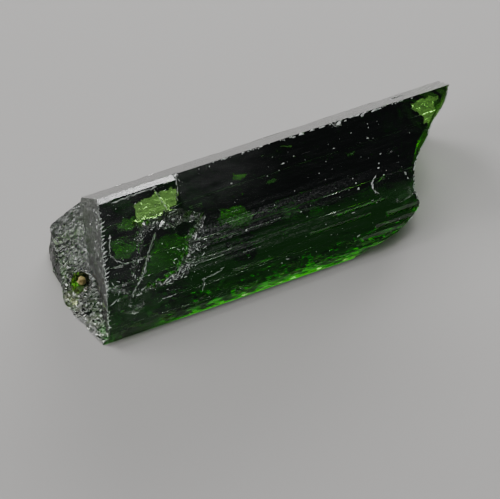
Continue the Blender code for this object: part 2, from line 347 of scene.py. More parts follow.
def bruising(t, s):
    """How splintered the main face is at t and s: most in the courses, and in faint patches between."""
    strongest = max(near_course(t, s, course) for course in BRUISES)
    return held(BRUISE_GAIN * (strongest + rippled(t, s, BRUISE_RIPPLES) - BRUISE_TRIM))


# ---- crystal

REFINE_ROUNDS = 7

# The blunt edge behind the rest face lies behind this Y and below this height.
BACK_FOOT_Y = 5.5
BACK_FOOT_TOP = 0.14

# The growth ledges of the long faces are cut this often along t (from, to, step). Those between
# these depths are weathered, and they fade in to the right of this X.
LEDGE_CUTS = (0.6, 31.5, 0.8)
LEDGE_DEPTHS = (0.002, 0.06)
LEDGE_OUTWARD = 0.6
LEDGES_START = -5.0
LEDGES_GROW = 8.0
LEDGE_WAVES = (0.35, 1.6, 1.6)
LEDGE_KEPT = 0.12        # the share of a ledge that is kept where the noise is nought
LEDGE_CONTRAST = 1.5
LEDGE_LEAST = 0.05       # and what is left of it near the rough end
LEDGE_MOST = 1.3
# A point and the outward normal of each ledged side, and a number that sets it apart.
LEDGED_SIDES = (
    (tuple(FOOT), tuple(-INTO_MAIN), 2.5),
    (tuple(FOOT + MAIN_WIDTH * UP_MAIN), tuple(UP_MAIN), 12.5),
    ((START_X, FOOT_Y + 11.35, 0.12), (0.0, 0.9994, 0.0347), 22.5),
)

# The front strip of the rest face is a little wavy: its cells along X and Y from the foot.
WAVY_X = (1.5, 30.0, 0.4)
WAVY_Y = (0.25, 3.4, 0.16)
WAVY_FADE = 1.8
WAVY_LEAST = 0.1
WAVY_DEPTH = 0.12
WAVY_MIDDLE = 0.5
WAVY_RIPPLES = ((0.7, 1.5, 3.0, 0.5), (2.0, 4.0, 9.0, 0.3))

# Thin level cleavage cracks inside, which shine through the main face: (outline on that face as
# t and s, height over the rest face).
CLEAVAGES = (
    (((5.6, 8.2), (7.4, 8.15), (9.0, 8.35), (9.45, 9.3), (9.4, 9.75), (7.2, 9.8), (5.7, 9.4)), 6.5),
    (((4.7, 3.62), (6.3, 3.5), (7.66, 3.38), (8.4, 4.55), (8.94, 5.72), (7.7, 6.15), (6.54, 6.27),
      (5.6, 4.9)), 1.6),
    (((2.75, 5.7), (4.2, 5.5), (4.9, 6.4), (5.2, 7.1), (3.9, 7.3), (2.6, 7.2)), 2.4),
    (((3.6, 7.9), (4.6, 7.7), (5.4, 8.0), (5.2, 8.5), (4.3, 8.7), (3.5, 8.5)), 3.3),
    (((13.1, 5.05), (14.6, 5.0), (15.0, 5.75), (14.2, 6.6), (12.4, 6.75), (11.9, 6.1)), 2.2),
    (((14.0, 8.9), (14.8, 8.7), (15.6, 8.9), (15.2, 9.15), (14.3, 9.2)), 3.8),
    (((31.0, 9.8), (31.6, 9.2), (31.7, 8.4), (32.2, 8.3), (32.7, 9.1), (33.3, 9.8), (33.5, 10.3),
      (32.3, 10.4), (30.9, 10.2)), 6.1),
)
CLEAVAGE_THICKNESS = 0.03
CLEAVAGE_SHIFT = Vector((0.212, 0.911))          # along t and y, for each mm below the main face
CLEAVAGE_SPLITS = 14                             # parts that a side of an outline is split into
CLEAVAGE_RAGGED = ((1.6, 0.24), (5.0, 0.15))     # waves to a millimetre, and how far they stray
CLEAVAGE_SEED = 2        # without a seed noise_vector is different on every run

# Relief of the crystal: part, texture, size of its waves and strength.
CRYSTAL_RELIEF = (
    ("rough_end", "CLOUDS", 1.1, 0.30), ("rough_end", "CLOUDS", 0.28, 0.17),
    ("rough_end", "VORONOI", 0.22, 0.07), ("break", "CLOUDS", 0.5, 0.12), ("scar", "CLOUDS", 0.14, 0.16),
    ("hollow", "CLOUDS", 0.6, 0.06), ("bruise", "CLOUDS", 0.13, 0.14),
)
# The parts that are refined for it, but for the bruises: name, test and largest face left, mm².
REFINED = (
    ("rough_end", is_rough_end, 0.02), ("break", is_break, 0.03), ("scar", is_scar, 0.01),
    ("hollow", is_hollow, 0.02),
)

# How frosted and how white a face is, in the order of preference of face_kinds.
KINDS_FROST = (0.9, 0.9, 0.3, 0.3, 0.5, 0.3, 0.0, 0.1)
KINDS_WHITE = (0.95, 0.3, 0.1, 0.08, 0.22, 0.1, 0.0, 1.0)
BRUISE_FROST = 0.3
BRUISE_WHITE = 0.95
END_PALE_X = -15.2       # the rough end is less frosted and white left of this X,
END_LESS_FROST = 0.2
END_LESS_WHITE = 0.15
END_DULL_TOP = 3.6       # and dull and dark below this height
END_DULL = 0.8
END_FADE = 2.5           # over which both come in
STAIN_REACH = 2.4        # how far rust spreads from the grain of host rock
STAIN_GAIN = 1.6
VEIL_FACING = 0.9        # faces that look out of the main face like this can carry haze


def refine_where(crystal, name, test, finest):
    """Halves the faces that pass until none is over finest, in mm², and names them for relief."""
    for _ in range(REFINE_ROUNDS):
        only(crystal)
        areas = np.empty(len(crystal.data.polygons), np.float32)
        crystal.data.polygons.foreach_get("area", areas)
        if not pick_faces(crystal, lambda *table: test(*table) & (areas > finest * MM ** 2)):
            break
        bpy.ops.mesh.quads_convert_to_tris()
        bpy.ops.mesh.subdivide(number_cuts=1)
    bpy.ops.object.mode_set(mode="OBJECT")
    inside = corners_within(crystal.data, test(*face_table(crystal.data)))
    crystal.vertex_groups.new(name=name).add(inside, 1.0, "REPLACE")


def sharpen_back_foot(crystal):
    """Brings the blunt edge behind the rest face down to a sharp one."""
    for vertex in crystal.data.vertices:
        if vertex.co.y > BACK_FOOT_Y * MM and vertex.co.z < BACK_FOOT_TOP * MM:
            vertex.co.z = 0.0


def under_main(t, s, height):
    """The place (t, y) at a height that shows through t and s of the main face."""
    drop = FRONT_HEIGHT + s * UP_MAIN.z - height
    return Vector((t, s * UP_MAIN.y)) + CLEAVAGE_SHIFT * drop


def ragged_outline(corners, height):
    """An outline under the main face whose sides wander between its corners."""
    points = []
    for first, last in zip(corners, corners[1:] + corners[:1]):
        for part in range(CLEAVAGE_SPLITS):
            place = Vector(first).lerp(Vector(last), part / CLEAVAGE_SPLITS)
            strayed = place.copy()
            for waves, reach in CLEAVAGE_RAGGED:
                strayed += noise.noise_vector(Vector((place.x * waves, place.y * waves, height))).xy * reach
            points.append(under_main(*strayed, height))
    return points


def cleavage_cutter(corners, height):
    """A thin level plate with a ragged outline."""
    places = [Vector((START_X + t, FOOT_Y + y, height)) * MM for t, y in ragged_outline(corners, height)]
    rise = Vector((0, 0, CLEAVAGE_THICKNESS)) * MM
    count = len(places)
    sides = [(n, (n + 1) % count, (n + 1) % count + count, n + count) for n in range(count)]
    rings = [tuple(reversed(range(count))), tuple(range(count, 2 * count))]
    mesh = bpy.data.meshes.new("cleavage")
    mesh.from_pydata(places + [place + rise for place in places], [], rings + sides)
    return add_object("cleavage", mesh)


def open_cleavages(crystal):
    """Cuts the thin level cracks out of the crystal."""
    noise.seed_set(CLEAVAGE_SEED)
    for corners, height in CLEAVAGES:
        cutter = cleavage_cutter(corners, height)
        only(crystal)
        modifier = crystal.modifiers.new("cleavage", "BOOLEAN")
        modifier.operation = "DIFFERENCE"
        modifier.solver = "EXACT"
        modifier.object = cutter
        bpy.ops.object.modifier_apply(modifier=modifier.name)
        bpy.data.objects.remove(cutter)


def is_wavy_base(centres, normals):
    inside = between(centres[:, 0] - START_X, WAVY_X) & between(centres[:, 1] - FOOT_Y, WAVY_Y)
    return is_base(centres, normals) & inside


def make_base_wavy(crystal):
    """Cuts the front strip of the rest face into cells and dents it gently upwards."""
    cut_across(crystal, is_base, [on_main(x, 0) for x in steps(*WAVY_X)], (1, 0, 0))
    cut_across(crystal, is_base, [Vector((0, FOOT_Y + y, 0)) * MM for y in steps(*WAVY_Y)], (0, 1, 0))
    mesh = crystal.data
    for index in corners_within(mesh, is_wavy_base(*face_table(mesh))):
        vertex = mesh.vertices[index]
        x, y, _ = vertex.co / MM
        wave = WAVY_MIDDLE + rippled(x, y, WAVY_RIPPLES)
        fade = held((WAVY_Y[1] - (y - FOOT_Y)) / WAVY_FADE, WAVY_LEAST)
        fade *= held((x - START_X - WAVY_X[0]) / WAVY_FADE)
        vertex.co.z += max(0.0, wave) * fade * WAVY_DEPTH * MM


def is_bruised(centres, normals):
    bruised = is_damaged_main(centres, normals)
    t, s, _ = main_places(centres)
    for index in np.nonzero(bruised)[0]:
        bruised[index] = bruising(float(t[index]), float(s[index])) > BRUISE_FAINTEST
    return bruised


def bruise_main_face(crystal):
    """Cuts the damaged stretch into cells and marks its bruises for the relief."""
    along = [on_main(t, 0) for t in steps(*CELLS_T, CELL)]
    up = [on_main(0, s) for s in steps(*CELLS_S, CELL)]
    cut_across(crystal, is_damaged_main, along, (1, 0, 0))
    cut_across(crystal, is_damaged_main, up, UP_MAIN)
    refine_where(crystal, "bruised", is_bruised, BRUISE_FINEST)
    group = crystal.vertex_groups.new(name="bruise")
    mesh = crystal.data
    corners = sorted(corners_of(mesh, is_damaged_main(*face_table(mesh))))
    t, s, _ = main_places(np.array([mesh.vertices[index].co for index in corners]) / MM)
    for index, along, up in zip(corners, t, s):
        weight = bruising(float(along), float(up))
        if weight > BRUISE_FAINTEST:
            group.add([index], weight, "REPLACE")


def weather_ledges(crystal):
    """Lets the growth ledges of the long faces fade in and out and wander a little."""
    cut_across(crystal, is_ledged, [on_main(t, 0) for t in steps(*LEDGE_CUTS)], (1, 0, 0))
    mesh = crystal.data
    for place, outward, seed in LEDGED_SIDES:
        place, outward = np.array(place), np.array(outward)
        centres, normals = face_table(mesh)
        near = abs((centres - place) @ outward) < LEDGE_DEPTHS[1]
        for index in corners_within(mesh, (normals @ outward > LEDGE_OUTWARD) & near):
            vertex = mesh.vertices[index]
            x, y, z = vertex.co / MM
            deep = float((place - (x, y, z)) @ outward)
            if LEDGE_DEPTHS[0] < deep < LEDGE_DEPTHS[1]:
                waves = Vector((x * LEDGE_WAVES[0], y * LEDGE_WAVES[1], z * LEDGE_WAVES[2] + seed))
                fade = LEDGE_KEPT + LEDGE_CONTRAST * noise.noise(waves)
                fade *= held((x - LEDGES_START) / LEDGES_GROW, LEDGE_LEAST)
                vertex.co += Vector(outward) * deep * (1.0 - held(fade, 0.0, LEDGE_MOST)) * MM


def bruised_shares(crystal):
    """How bruised each face is: the mean weight of its corners."""
    mesh = crystal.data
    group = crystal.vertex_groups["bruise"].index
    weights = np.zeros(len(mesh.vertices))
    for vertex in mesh.vertices:
        for member in vertex.groups:
            if member.group == group:
                weights[vertex.index] = member.weight
    return np.array([weights[list(face.vertices)].mean() for face in mesh.polygons])


def face_kinds(centres, normals):
    """The kinds of face that have a finish of their own; a face takes the first that it fits."""
    broken = is_break(centres, normals)
    tip = broken & (centres[:, 2] > TIP_FLOOR)
    uneven = abs(normals[:, 0]) > ALONG_FACING
    return [
        is_rough_end(centres, normals), tip, broken, is_hollow(centres, normals), is_scar(centres, normals),
        uneven, is_base(centres, normals), is_crest_flat(centres, normals),
    ]


def rust_near_grain(centres):
    """How stained faces are by the grain of host rock, 0 to 1."""
    lowest, highest = (np.array(corner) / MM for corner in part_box(GRAIN))
    distance = np.linalg.norm(centres - (lowest + highest) / 2, axis=1)
    return np.clip(STAIN_GAIN * (1.0 - distance / STAIN_REACH), 0, 1)


def mark_faces(crystal):
    """Writes how stained, veiled, cracked, frosted and white each face is, for the glass to read."""
    mesh = crystal.data
    centres, normals = face_table(mesh)
    kinds = face_kinds(centres, normals)
    away = np.clip((END_PALE_X - centres[:, 0]) / END_FADE, 0, 1)
    foot = 1.0 - END_DULL * np.clip((END_DULL_TOP - centres[:, 2]) / END_FADE, 0, 1)
    end_frost = (KINDS_FROST[0] - END_LESS_FROST * away) * foot
    end_white = (KINDS_WHITE[0] - END_LESS_WHITE * away) * foot
    frost = np.select(kinds, [end_frost, *KINDS_FROST[1:]], 0.0)
    white = np.select(kinds, [end_white, *KINDS_WHITE[1:]], 0.0)
    bruised = bruised_shares(crystal)
    marks = (
        ("stain", np.where(kinds[0], rust_near_grain(centres), 0)),
        ("veil", out_of_main(normals) > VEIL_FACING),
        ("crack", is_cleavage(centres, normals)),
        ("frost", np.maximum(frost, bruised * BRUISE_FROST)),
        ("white", np.maximum(white, bruised * BRUISE_WHITE)),
    )
    for name, values in marks:
        mesh.attributes.new(name, "FLOAT", "FACE").data.foreach_set("value", values.astype(np.float32))


def make_crystal(glass):
    crystal = merged_copy(CRYSTAL, "crystal")
    sharpen_back_foot(crystal)
    open_cleavages(crystal)
    make_base_wavy(crystal)
    bruise_main_face(crystal)
    weather_ledges(crystal)
    for name, test, finest in REFINED:
        refine_where(crystal, name, test, finest)
    for part, kind, size, strength in CRYSTAL_RELIEF:
        displace(crystal, part, kind, size, strength)
    keep_inside(crystal)
    mark_faces(crystal)
    mesh = crystal.data
    mesh.polygons.foreach_set("material_index", np.zeros(len(mesh.polygons), np.int32))
    mesh.polygons.foreach_set("use_smooth", np.zeros(len(mesh.polygons), bool))
    give_finish(crystal, glass)
    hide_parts(CRYSTAL)
    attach(crystal, "root")
    return crystal


# ---- splinters and crumbs

SHARD_KINDS = 5
SHARD_RAGGEDNESS = 0.35
SHARD_UNEVENNESS = 0.6
SHARD_SINK = 0.3         # share of a shard's height that is sunk in the crystal
SHARD_SEED = 5
SENT_FROM = 2.0          # shards are sent at the main face from this far outside
SENT_AT_END = -25.0      # and at the rough end from this X

# Short ticks torn out of the ridge by the rough end, up along s.
RIDGE_SEARCH = (0.4, 3.6, 0.05)
RIDGE_DEPTH = 0.08
TICKS_S = (3.6, 9.6)
TICK_STEP = 0.33
TICK_STRAY = 0.04
TICK_LENGTHS = (0.2, 0.6)
TICK_WIDTHS = (0.08, 0.13)
TICK_HEIGHT = 0.14
TICK_TURNS = (4, 26)     # degrees from the crystal's length, as all turns are
TICK_REACH = 0.3         # share of a tick's length that its middle lies to the right of the ridge

# Splinters of the bruised courses: how many to a square millimetre of each, and their sizes.
BRUISE_DENSITY = (30, 12, 8, 16, 16, 20)
BRUISE_SPREAD = 0.9
SPLINTER_SHORTEST = 0.07
SPLINTER_GROWTH = 0.4
SPLINTER_WIDEST = 0.07
SPLINTER_SLENDER = (0.15, 0.5)
SPLINTER_HEIGHT = 0.2    # share of its length
SPLINTERS_LYING = 0.5    # share of them that lie along their course
SPLINTER_SWERVES = (25, 40)

# Hairline cracks and torn edges, as lines of (t, s), and the width of each.
HAIRLINES = (
    ((9.68, 10.85), (9.62, 10.29), (9.41, 9.32), (9.25, 8.9)),
    ((9.45, 10.7), (9.75, 10.55), (9.85, 10.3)),
    ((7.59, 10.3), (7.74, 9.8), (8.17, 8.47)),
    ((3.00, 7.6), (2.75, 6.87), (2.58, 6.22), (2.96, 5.6), (3.7, 5.14)),
    ((11.2, 2.2), (10.44, 1.95), (9.51, 1.88), (9.39, 1.48), (9.11, 1.13)),
    ((4.16, 10.2), (4.94, 10.22), (6.4, 10.29), (7.73, 10.3)),
    ((26.12, 5.38), (25.84, 5.15), (25.68, 4.85), (25.64, 4.52), (25.74, 4.22), (25.95, 3.97)),
    ((6.61, 6.69), (5.68, 5.46), (4.89, 3.98), (4.11, 3.25), (3.25, 2.45)),
    ((5.8, 1.45), (6.8, 1.47)),
    ((1.5, 2.3), (2.3, 2.62)),
)
HAIR_WIDTHS = (0.05, 0.03, 0.035, 0.05, 0.03, 0.05, 0.06, 0.03, 0.03, 0.04)
HAIR_LENGTH = 0.36
HAIR_OVERLAP = 0.6       # share of that length from one sliver to the next
HAIR_THINNING = (0.5, 1.5)
HAIR_STRETCH = (0.8, 1.3)
HAIR_STRAY = 0.03
HAIR_SWERVE = 14

# Bright specks and dashes on the main face: (t, s, length, width).
SPECKS = (
    (26.38, 8.66, 0.26, 0.18), (23.27, 8.75, 0.22, 0.13), (25.08, 9.52, 0.16, 0.1),
    (18.66, 8.88, 0.3, 0.13), (13.99, 8.67, 0.2, 0.15), (14.06, 4.57, 0.26, 0.2),
    (19.73, 9.19, 0.14, 0.11), (19.02, 4.57, 0.13, 0.12), (24.37, 4.89, 0.26, 0.24),
    (24.3, 5.4, 0.12, 0.2), (26.87, 5.3, 0.2, 0.12), (27.08, 7.08, 0.2, 0.13),
    (26.58, 6.00, 0.28, 0.2), (26.7, 6.35, 0.16, 0.14), (28.78, 4.87, 0.2, 0.42),
    (28.9, 4.35, 0.14, 0.26), (23.37, 3.09, 0.46, 0.09), (23.26, 1.09, 0.44, 0.08),
    (16.78, 1.18, 0.4, 0.08), (16.2, 1.02, 0.22, 0.06), (24.3, 10.55, 0.6, 0.5),
    (20.9, 10.72, 0.5, 0.34), (26.45, 10.66, 0.4, 0.26), (27.6, 10.7, 0.6, 0.24),
    (5.78, 9.55, 0.14, 0.12), (2.96, 7.56, 0.24, 0.22), (22.3, 7.9, 0.12, 0.09),
    (12.6, 10.55, 0.08, 0.2), (11.7, 10.62, 0.07, 0.14), (18.2, 8.45, 0.16, 0.08),
    (17.1, 8.3, 0.12, 0.09), (25.3, 3.55, 0.3, 0.06),
)
SPECK_SHARES = (0.9, 0.7, 0.5)   # of its length, its width and the smaller of them, for its height
SPECK_SWERVE = 14

# Fine crumbs anywhere on the main face.
CRUMBS = 120
CRUMBS_T = (3, 31)
CRUMBS_S = (0.3, 10.6)
CRUMB_SMALLEST = 0.03
CRUMB_GROWTH = 0.05
CRUMB_SHAPE = (1.3, 1.0, 0.7)

# Chips along the crest edge, the ridge by the rough end and the edge of the break.
CREST_CHIPS = 70
CREST_CHIPS_T = (12.5, 31.5)
CREST_CHIP_SHORTEST = 0.07
CREST_CHIP_GROWTH = 0.4
CREST_CHIP_WIDTHS = (0.05, 0.12)
CREST_INSET = 0.03
CREST_STRAY = 0.05
CREST_SWERVE = 8
CHIP_HEIGHT = 0.08
EDGE_STEP = 0.13
RIDGE_CHIPS_S = (0.5, 10.6)
RIDGE_CHIP_SHORTEST = 0.06
RIDGE_CHIP_GROWTH = 0.25
RIDGE_CHIP_WIDTHS = (0.04, 0.1)
RIDGE_STRAY = (-0.02, 0.1)
RIDGE_TURN = 20
RIDGE_SWERVE = 40
BREAK_SEARCH = (35.2, 27.0, -0.05)
BREAK_CHIPS_S = (0.8, 10.6)
BREAK_CHIPS_KEPT = 0.75
BREAK_CHIP_LENGTHS = (0.1, 0.35)
BREAK_CHIP_WIDTHS = (0.04, 0.09)
BREAK_CHIP_HEIGHT = 0.07
BREAK_INSET = 0.04
BREAK_SWERVE = 15

# Pale crumbs on the rough end: (y from the foot, z, size), then more of them anywhere on it.
END_SHARDS = (
    (2.9, 1.5, 0.3), (2.6, 1.1, 0.26), (3.3, 1.2, 0.22), (2.2, 0.9, 0.3), (3.8, 0.8, 0.28),
    (4.3, 0.6, 0.24), (1.8, 0.6, 0.2), (6.6, 6.6, 0.24), (7.0, 6.9, 0.2), (7.3, 7.4, 0.26),
    (7.9, 7.2, 0.2), (6.9, 7.7, 0.22),
)
END_CRUMBS = 80
END_CRUMBS_Y = (0.3, 11)
END_CRUMBS_Z = (0.2, 8.3)
END_CRUMB_SMALLEST = 0.05
END_CRUMB_GROWTH = 0.18
END_CRUMB_SHAPE = (1.0, 0.6, 0.4)


def shard_models():
    """A few ragged splinters of about unit size."""
    models = []
    for seed in range(SHARD_KINDS):
        bpy.ops.object.select_all(action="DESELECT")
        bpy.ops.mesh.primitive_ico_sphere_add(subdivisions=1, radius=0.5)
        shard = bpy.context.object
        edit_all()
        bpy.ops.transform.vertex_random(offset=SHARD_RAGGEDNESS, uniform=SHARD_UNEVENNESS, seed=seed + 1)
        bpy.ops.mesh.normals_make_consistent(inside=False)
        bpy.ops.object.mode_set(mode="OBJECT")
        models.append(shard)
    return models


def landing(surface, start, direction):
    """Where a point sent from outside meets the crystal's surface, and the normal there."""
    place, normal, _, _ = surface.ray_cast(start, direction)
    return (place, normal) if place else None


def land_on_main(surface, t, s):
    return landing(surface, on_main(t, s, -SENT_FROM), INTO_MAIN)


def shard_placed(models, draw, spot, size, degrees):
    """A copy of a shard on a spot, its length turned from the crystal's axis by some degrees."""
    place, normal = spot
    length, width, height = (part * MM for part in size)
    along = (Vector((1, 0, 0)) - normal * normal.x).normalized()
    across = normal.cross(along)
    turn = Matrix((along, across, normal)).transposed()
    turn = (turn @ Matrix.Rotation(math.radians(degrees), 3, "Z")).to_4x4()
    lift = Matrix.Translation(place + normal * height * (0.5 - SHARD_SINK))
    mesh = draw.choice(models).data.copy()
    mesh.transform(lift @ turn @ Matrix.Diagonal((length, width, height, 1)))
    return add_object("shard", mesh)


def edge_at(surface, s, search):
    """Where the main face begins at s: the first t searched whose depth is next to nothing."""
    for t in steps(*search):
        spot = land_on_main(surface, t, s)
        if spot and (spot[0] - on_main(t, s)).length < RIDGE_DEPTH * MM:
            return t
    return search[0]


def heading_of(run):
    """The turn of a line on the main face from the crystal's length, in degrees."""
    return math.degrees(math.atan2(run.y, run.x))


def tick_places(draw, surface):
    """Ticks torn along the ridge: place, size and turn."""
    for count in range(round((TICKS_S[1] - TICKS_S[0]) / TICK_STEP)):
        s = TICKS_S[0] + count * TICK_STEP + draw.uniform(-TICK_STRAY, TICK_STRAY)
        length = draw.uniform(*TICK_LENGTHS)
        size = (length, draw.uniform(*TICK_WIDTHS), TICK_HEIGHT)
        yield (edge_at(surface, s, RIDGE_SEARCH) + TICK_REACH * length, s), size, draw.uniform(*TICK_TURNS)


def bruise_places(draw, surface):
    """Splinters crowded along the bruised courses."""
    lying_swerve, loose_swerve = SPLINTER_SWERVES
    for course, density in zip(BRUISES, BRUISE_DENSITY):
        for start, stop in zip(course, course[1:]):
            run = (Vector(stop) - Vector(start)).xy
            side = Vector((-run.y, run.x)).normalized()
            for _ in range(round(density * run.length * (start[2] + stop[2]))):
                share = draw.random()
                half = start[2] + (stop[2] - start[2]) * share
                place = Vector(start).xy + run * share + side * half * draw.gauss(0, BRUISE_SPREAD)
                length = SPLINTER_SHORTEST + SPLINTER_GROWTH * draw.random() ** 3
                width = min(SPLINTER_WIDEST, length * draw.uniform(*SPLINTER_SLENDER))
                lying = draw.random() < SPLINTERS_LYING
                turn = draw.gauss(heading_of(run), lying_swerve) if lying else draw.gauss(0, loose_swerve)
                yield tuple(place), (length, width, length * SPLINTER_HEIGHT), turn


def hair_places(draw, surface):
    """Thin slivers end to end along the hairlines."""
    for line, wide in zip(HAIRLINES, HAIR_WIDTHS):
        for start, stop in zip(line, line[1:]):
            run = Vector(stop) - Vector(start)
            for place in steps(0.0, 1.0, HAIR_OVERLAP * HAIR_LENGTH / run.length):
                width = wide * draw.uniform(*HAIR_THINNING)
                size = (HAIR_LENGTH * draw.uniform(*HAIR_STRETCH), width, width)
                stray = Vector((draw.gauss(0, HAIR_STRAY), draw.gauss(0, HAIR_STRAY)))
                middle = Vector(start) + run * place + stray
                yield tuple(middle), size, heading_of(run) + draw.gauss(0, HAIR_SWERVE)


def speck_places(draw, surface):
    long, wide, high = SPECK_SHARES
    for t, s, length, width in SPECKS:
        size = (long * length, wide * width, high * min(length, width))
        yield (t, s), size, draw.uniform(-SPECK_SWERVE, SPECK_SWERVE)


def crumb_places(draw, surface):
    for _ in range(CRUMBS):
        size = CRUMB_SMALLEST + CRUMB_GROWTH * draw.random() ** 2
        place = (draw.uniform(*CRUMBS_T), draw.uniform(*CRUMBS_S))
        yield place, tuple(size * part for part in CRUMB_SHAPE), draw.uniform(0, 90)


def crest_places(draw, surface):
    """Chips along the crest edge."""
    for _ in range(CREST_CHIPS):
        length = CREST_CHIP_SHORTEST + CREST_CHIP_GROWTH * draw.random() ** 3
        t = draw.uniform(*CREST_CHIPS_T)
        s = MAIN_WIDTH - CREST_INSET - abs(draw.gauss(0, CREST_STRAY))
        yield (t, s), (length, draw.uniform(*CREST_CHIP_WIDTHS), CHIP_HEIGHT), draw.gauss(0, CREST_SWERVE)


def ridge_places(draw, surface):
    """Chips along the ridge by the rough end."""
    for s in steps(*RIDGE_CHIPS_S, EDGE_STEP):
        length = RIDGE_CHIP_SHORTEST + RIDGE_CHIP_GROWTH * draw.random() ** 2
        size = (length, draw.uniform(*RIDGE_CHIP_WIDTHS), CHIP_HEIGHT)
        t = edge_at(surface, s, RIDGE_SEARCH) + draw.uniform(*RIDGE_STRAY)
        yield (t, s), size, draw.gauss(RIDGE_TURN, RIDGE_SWERVE)


def break_places(draw, surface):
    """Chips along the edge of the break."""
    last = None
    for s in steps(*BREAK_CHIPS_S, EDGE_STEP):
        place = Vector((edge_at(surface, s, BREAK_SEARCH), s))
        if last and draw.random() < BREAK_CHIPS_KEPT:
            size = (draw.uniform(*BREAK_CHIP_LENGTHS), draw.uniform(*BREAK_CHIP_WIDTHS), BREAK_CHIP_HEIGHT)
            yield (place.x - BREAK_INSET, s), size, heading_of(place - last) + draw.gauss(0, BREAK_SWERVE)
        last = place


def end_places(draw):
    """Pale crumbs on the rough end: where each is sent from (y, z) and its size."""
    for y, z, size in END_SHARDS:
        yield FOOT_Y + y, z, size
    for _ in range(END_CRUMBS):
        y, z = draw.uniform(*END_CRUMBS_Y), draw.uniform(*END_CRUMBS_Z)
        yield FOOT_Y + y, z, END_CRUMB_SMALLEST + END_CRUMB_GROWTH * draw.random() ** 2


def joined(shards, name):
    bpy.ops.object.select_all(action="DESELECT")
    for shard in shards:
        shard.select_set(True)
    bpy.context.view_layer.objects.active = shards[0]
    bpy.ops.object.join()
    piece = bpy.context.object
    piece.name = name
    return piece


MAIN_FACE_MARKS = (
    tick_places, bruise_places, hair_places, speck_places,
    crumb_places, crest_places, ridge_places, break_places,
)


def make_splinters(crystal, finish):
    """Every splinter, crumb and chip on the crystal's surface, as one piece."""
    draw = random.Random(SHARD_SEED)
    models = shard_models()
    surface = BVHTree.FromObject(crystal, bpy.context.evaluated_depsgraph_get())
    shards = []
    for places in MAIN_FACE_MARKS:
        for (t, s), size, degrees in places(draw, surface):
            spot = land_on_main(surface, t, s)
            if spot:
                shards.append(shard_placed(models, draw, spot, size, degrees))
    for y, z, size in end_places(draw):
        spot = landing(surface, Vector((SENT_AT_END, y, z)) * MM, Vector((1, 0, 0)))
        if spot and spot[0].x < ROUGH_END_STOP * MM:
            shape = tuple(size * part for part in END_CRUMB_SHAPE)
            shards.append(shard_placed(models, draw, spot, shape, draw.uniform(0, 180)))
    for model in models:
        bpy.data.objects.remove(model)
    splinters = joined(shards, "splinters")
    keep_inside(splinters)
    give_finish(splinters, finish)
    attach(splinters, "root")


# ---- grain

GRAIN_CUTS = 3
GRAIN_RELIEF = ((0.4, 0.22), (0.12, 0.08))       # size of the waves and strength
GRAIN_LEVEL = 0.7


def make_grain(finish):
    """The grain of host rock in the pit of the rough end."""
    grain = merged_copy(GRAIN, "grain")
    edit_all()
    bpy.ops.mesh.subdivide(number_cuts=GRAIN_CUTS)
    bpy.ops.object.mode_set(mode="OBJECT")
    grain.vertex_groups.new(name="all").add(range(len(grain.data.vertices)), 1.0, "REPLACE")
    for size, strength in GRAIN_RELIEF:
        displace(grain, "all", "CLOUDS", size, strength, GRAIN_LEVEL)
    give_finish(grain, finish)
    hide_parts(GRAIN)
    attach(grain, "root")


# ---- node helpers

def new_material(name):
    material = bpy.data.materials.new(name)
    material.use_nodes = True
    tree = material.node_tree
    return material, tree, tree.nodes["Principled BSDF"]


def node(tree, kind, **settings):
    made = tree.nodes.new(kind)
    for name, value in settings.items():
        setattr(made, name, value)
    return made


def set_inputs(made, values):
    for name, value in values.items():
        made.inputs[name].default_value = value


def maths(tree, operation, *values):
    """The values added, multiplied or otherwise taken together, two at a time."""
    result = values[0]
    for value in values[1:]:
        made = node(tree, "ShaderNodeMath", operation=operation)
        for socket, term in zip(made.inputs, (result, value)):
            if isinstance(term, (int, float)):
                socket.default_value = term
            else:
                tree.links.new(term, socket)
        result = made.outputs[0]
    return result


def ranged(tree, value, low, high, to_low=0.0, to_high=1.0):
    """The value moved from the range low to high into another range, held at its ends."""
    made = node(tree, "ShaderNodeMapRange", clamp=True)
    tree.links.new(value, made.inputs["Value"])
    set_inputs(made, {"From Min": low, "From Max": high, "To Min": to_low, "To Max": to_high})
    return made.outputs[0]


def attribute(tree, name):
    return node(tree, "ShaderNodeAttribute", attribute_name=name).outputs["Fac"]


def object_places(tree, scale=(1, 1, 1)):
    """Object coordinates in millimetres, stretched by a scale."""
    place = node(tree, "ShaderNodeTexCoord")
    mapping = node(tree, "ShaderNodeMapping")
    set_inputs(mapping, {"Scale": [part / MM for part in scale]})
    tree.links.new(place.outputs["Object"], mapping.inputs["Vector"])
    return mapping.outputs[0]


def object_axes(tree):
    """X and Z of the place, in millimetres."""
    split = node(tree, "ShaderNodeSeparateXYZ")
    tree.links.new(object_places(tree), split.inputs[0])
    return split.outputs["X"], split.outputs["Z"]


def noise_of(tree, scale, detail, rough, stretch=(1, 1, 1)):
    """Noise with this many waves to a millimetre, drawn out where the stretch is below 1."""
    made = node(tree, "ShaderNodeTexNoise")
    set_inputs(made, {"Scale": scale, "Detail": detail, "Roughness": rough})
    tree.links.new(object_places(tree, stretch), made.inputs["Vector"])
    return made.outputs["Fac"]


def mixed(tree, share, first, second):
    """A colour between two, each a colour or a socket."""
    mix = node(tree, "ShaderNodeMix", data_type="RGBA")
    tree.links.new(share, mix.inputs["Factor"])
    for name, colour in (("A", first), ("B", second)):
        if isinstance(colour, tuple):
            set_inputs(mix, {name: colour})
        else:
            tree.links.new(colour, mix.inputs[name])
    return mix.outputs["Result"]


def link_bump(tree, shader, height, distance):
    """Relief of the given height in millimetres on a shader."""
    bump = node(tree, "ShaderNodeBump")
    set_inputs(bump, {"Distance": distance * MM})
    tree.links.new(height, bump.inputs["Height"])
    tree.links.new(bump.outputs[0], shader.inputs["Normal"])


# ---- green glass

